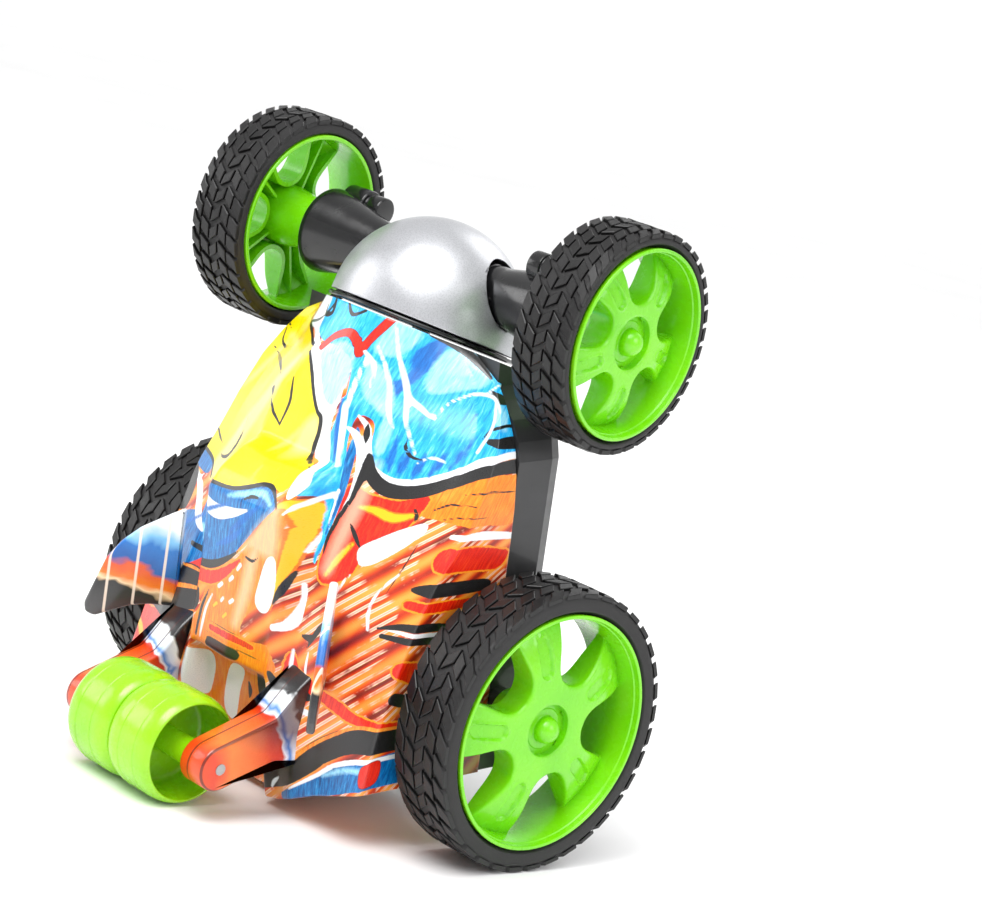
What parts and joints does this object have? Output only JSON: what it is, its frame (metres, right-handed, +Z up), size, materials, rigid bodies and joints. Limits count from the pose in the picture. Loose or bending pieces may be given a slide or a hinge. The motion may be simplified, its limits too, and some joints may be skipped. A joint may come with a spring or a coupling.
{
  "type": "rc stunt car",
  "caption": "Small remote-control stunt car standing on its rear wheels and tail rollers, with a printed plastic body and a turning head that carries the front wheels.",
  "frame": {"origin": "on the ground, below the centre of the bounding box of the standing car", "axes": "+X along the rear axle to the car's right, +Z up, -Y the way its roof faces"},
  "size_m": [0.1456, 0.1226, 0.172],
  "materials": {
    "printed_shell": "gloss",
    "black_gloss": "gloss",
    "battery_wrap": "gloss",
    "board_green": "satin",
    "steel": "satin",
    "grey_plastic": "satin",
    "brass": "satin",
    "nylon": "satin",
    "silver_paint": "satin",
    "lime_plastic": "gloss",
    "tyre_rubber": "matte"
  },
  "bodies": {
    "car_body": {"body_shell": "printed_shell", "chassis_tray": "black_gloss", "battery_door": "black_gloss", "battery_pack": "battery_wrap", "circuit_board": "board_green", "switch_body": "steel", "roller_pin": "steel", "twist_motor": "steel", "drive_motor_left": "steel", "gear_frame_left": "grey_plastic", "gear_pin_left": "steel", "chassis_screw_front_left": "steel", "chassis_screw_rear_left": "steel", "drive_motor_right": "steel", "gear_frame_right": "grey_plastic", "gear_pin_right": "steel", "chassis_screw_front_right": "steel", "chassis_screw_rear_right": "steel"},
    "head": {"head_dome": "silver_paint", "head_base": "black_gloss", "head_shaft": "steel", "head_gear": "nylon", "front_axle": "steel", "axle_housing_left": "black_gloss", "axle_housing_right": "black_gloss"},
    "twist_pinion": {"twist_pinion": "brass"},
    "power_switch": {"power_switch": "grey_plastic"},
    "rear_wheel_left": {"rear_rim_left": "lime_plastic", "rear_tyre_left": "tyre_rubber", "rear_hub_cap_left": "lime_plastic", "rear_axle_left": "steel", "axle_gear_left": "nylon"},
    "compound_gear_left": {"compound_gear_left": "nylon"},
    "motor_pinion_left": {"motor_pinion_left": "brass"},
    "front_wheel_left": {"front_rim_left": "lime_plastic", "front_tyre_left": "tyre_rubber", "front_hub_cap_left": "lime_plastic"},
    "tail_roller_left": {"tail_roller_left": "lime_plastic"},
    "rear_wheel_right": {"rear_rim_right": "lime_plastic", "rear_tyre_right": "tyre_rubber", "rear_hub_cap_right": "lime_plastic", "rear_axle_right": "steel", "axle_gear_right": "nylon"},
    "compound_gear_right": {"compound_gear_right": "nylon"},
    "motor_pinion_right": {"motor_pinion_right": "brass"},
    "front_wheel_right": {"front_rim_right": "lime_plastic", "front_tyre_right": "tyre_rubber", "front_hub_cap_right": "lime_plastic"},
    "tail_roller_right": {"tail_roller_right": "lime_plastic"}
  },
  "joints": [
    {"name": "head_twist", "type": "hinge", "parent": "car_body", "child": "head", "pos_m": [0, 0.01865, 0.14084], "axis": [0, 0.21, 0.9777], "continuous": true},
    {"name": "twist_pinion_spin", "type": "hinge", "parent": "car_body", "child": "twist_pinion", "pos_m": [0, 0.00005, 0.1209], "axis": [0, 0.21, 0.9777], "continuous": true},
    {"name": "power_switch_slide", "type": "slide", "parent": "car_body", "child": "power_switch", "axis": [1, 0, 0], "range_m": [0, 0.005]},
    {"name": "rear_wheel_left_spin", "type": "hinge", "parent": "car_body", "child": "rear_wheel_left", "pos_m": [0, 0.0234, 0.038], "axis": [1, 0, 0], "continuous": true},
    {"name": "compound_gear_left_spin", "type": "hinge", "parent": "car_body", "child": "compound_gear_left", "pos_m": [0, 0.01888, 0.05113], "axis": [1, 0, 0], "continuous": true},
    {"name": "motor_pinion_left_spin", "type": "hinge", "parent": "car_body", "child": "motor_pinion_left", "pos_m": [0, 0.01456, 0.06267], "axis": [1, 0, 0], "continuous": true},
    {"name": "front_wheel_left_spin", "type": "hinge", "parent": "head", "child": "front_wheel_left", "pos_m": [0, 0.01865, 0.14084], "axis": [0.992, 0.123, -0.0264], "continuous": true},
    {"name": "tail_roller_left_spin", "type": "hinge", "parent": "car_body", "child": "tail_roller_left", "pos_m": [0, -0.04679, 0.01469], "axis": [1, 0, 0], "continuous": true},
    {"name": "rear_wheel_right_spin", "type": "hinge", "parent": "car_body", "child": "rear_wheel_right", "pos_m": [0, 0.0234, 0.038], "axis": [1, 0, 0], "continuous": true},
    {"name": "compound_gear_right_spin", "type": "hinge", "parent": "car_body", "child": "compound_gear_right", "pos_m": [0, 0.01888, 0.05113], "axis": [1, 0, 0], "continuous": true},
    {"name": "motor_pinion_right_spin", "type": "hinge", "parent": "car_body", "child": "motor_pinion_right", "pos_m": [0, 0.01456, 0.06267], "axis": [1, 0, 0], "continuous": true},
    {"name": "front_wheel_right_spin", "type": "hinge", "parent": "head", "child": "front_wheel_right", "pos_m": [0, 0.01865, 0.14084], "axis": [0.992, 0.123, -0.0264], "continuous": true},
    {"name": "tail_roller_right_spin", "type": "hinge", "parent": "car_body", "child": "tail_roller_right", "pos_m": [0, -0.04679, 0.01469], "axis": [1, 0, 0], "continuous": true}
  ],
  "couplings": [
    {"joint": "twist_pinion_spin", "follows": "head_twist", "ratio": -2.5},
    {"joint": "compound_gear_left_spin", "follows": "rear_wheel_left_spin", "ratio": -2.5},
    {"joint": "motor_pinion_left_spin", "follows": "rear_wheel_left_spin", "ratio": 5.625},
    {"joint": "compound_gear_right_spin", "follows": "rear_wheel_right_spin", "ratio": -2.5},
    {"joint": "motor_pinion_right_spin", "follows": "rear_wheel_right_spin", "ratio": 5.625}
  ]
}
